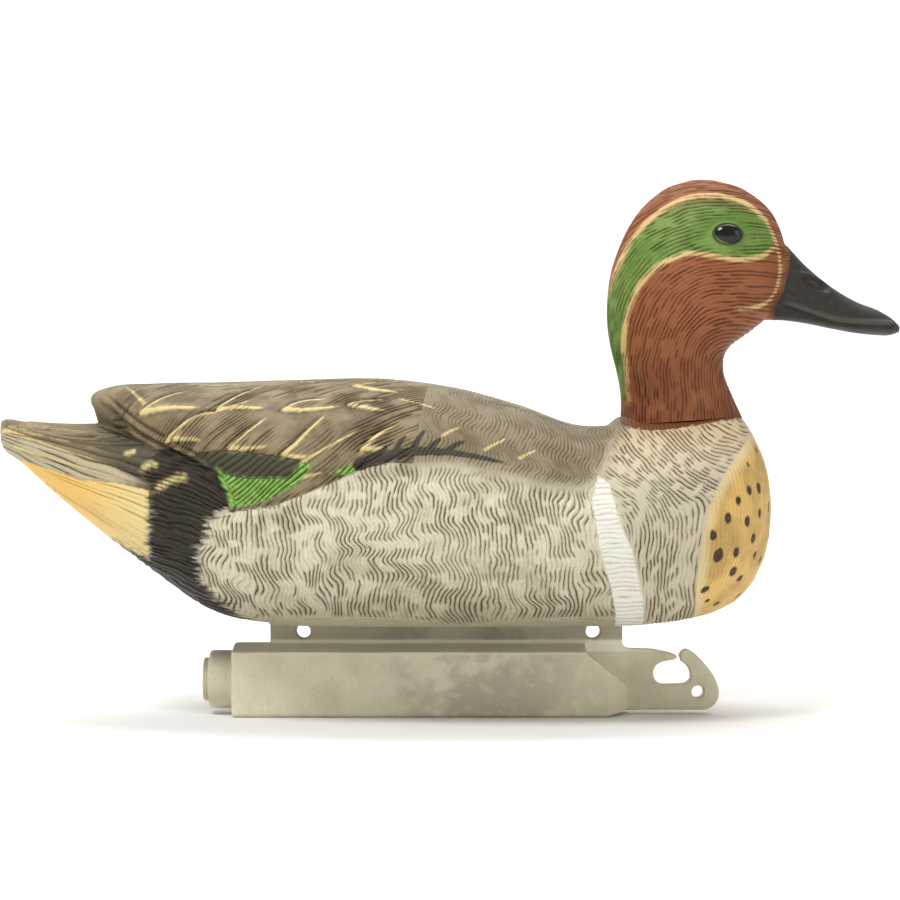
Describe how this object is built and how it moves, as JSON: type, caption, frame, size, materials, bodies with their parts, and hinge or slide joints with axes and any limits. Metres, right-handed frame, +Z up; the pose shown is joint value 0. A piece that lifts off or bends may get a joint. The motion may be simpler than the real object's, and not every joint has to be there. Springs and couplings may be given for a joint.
{
  "type": "duck decoy",
  "caption": "Floating drake teal decoy: hollow moulded body, turning head with glossy eyes, and a sand-weighted keel with a filler plug and an open line hook.",
  "frame": {"origin": "on the surface that the keel stands on, under the middle of the overall length, in the plane of symmetry", "axes": "+X towards the bill, +Y to the duck's left, +Z up"},
  "size_m": [0.3293, 0.1334, 0.1959],
  "materials": {
    "body_plastic": "matte",
    "head_plastic": "matte",
    "keel_plastic": "matte",
    "plug_plastic": "matte",
    "bearing_plastic": "satin",
    "eye_gloss": "gloss",
    "seal_rubber": "matte",
    "spring_steel": "satin",
    "sand": "matte"
  },
  "bodies": {
    "hull": {"body_shell": "body_plastic", "neck_socket": "bearing_plastic", "keel": "keel_plastic", "keel_ballast": "sand", "keel_screws": "spring_steel"},
    "head": {"head_shell": "head_plastic", "left_eye": "eye_gloss", "right_eye": "eye_gloss", "neck_hub": "bearing_plastic", "neck_hub_screws": "spring_steel", "neck_seal_ring": "seal_rubber", "neck_washer": "bearing_plastic", "neck_clip": "spring_steel"},
    "plug": {"keel_plug": "plug_plastic", "keel_plug_seal": "seal_rubber"}
  },
  "joints": [
    {"name": "head_turn", "type": "hinge", "parent": "hull", "child": "head", "pos_m": [0.085, 0, 0.1073], "axis": [-0.0654, 0, 0.9979], "range_deg": [-90, 90]},
    {"name": "plug_pull", "type": "slide", "parent": "hull", "child": "plug", "axis": [-1, 0, 0], "range_m": [0, 0.016]}
  ]
}
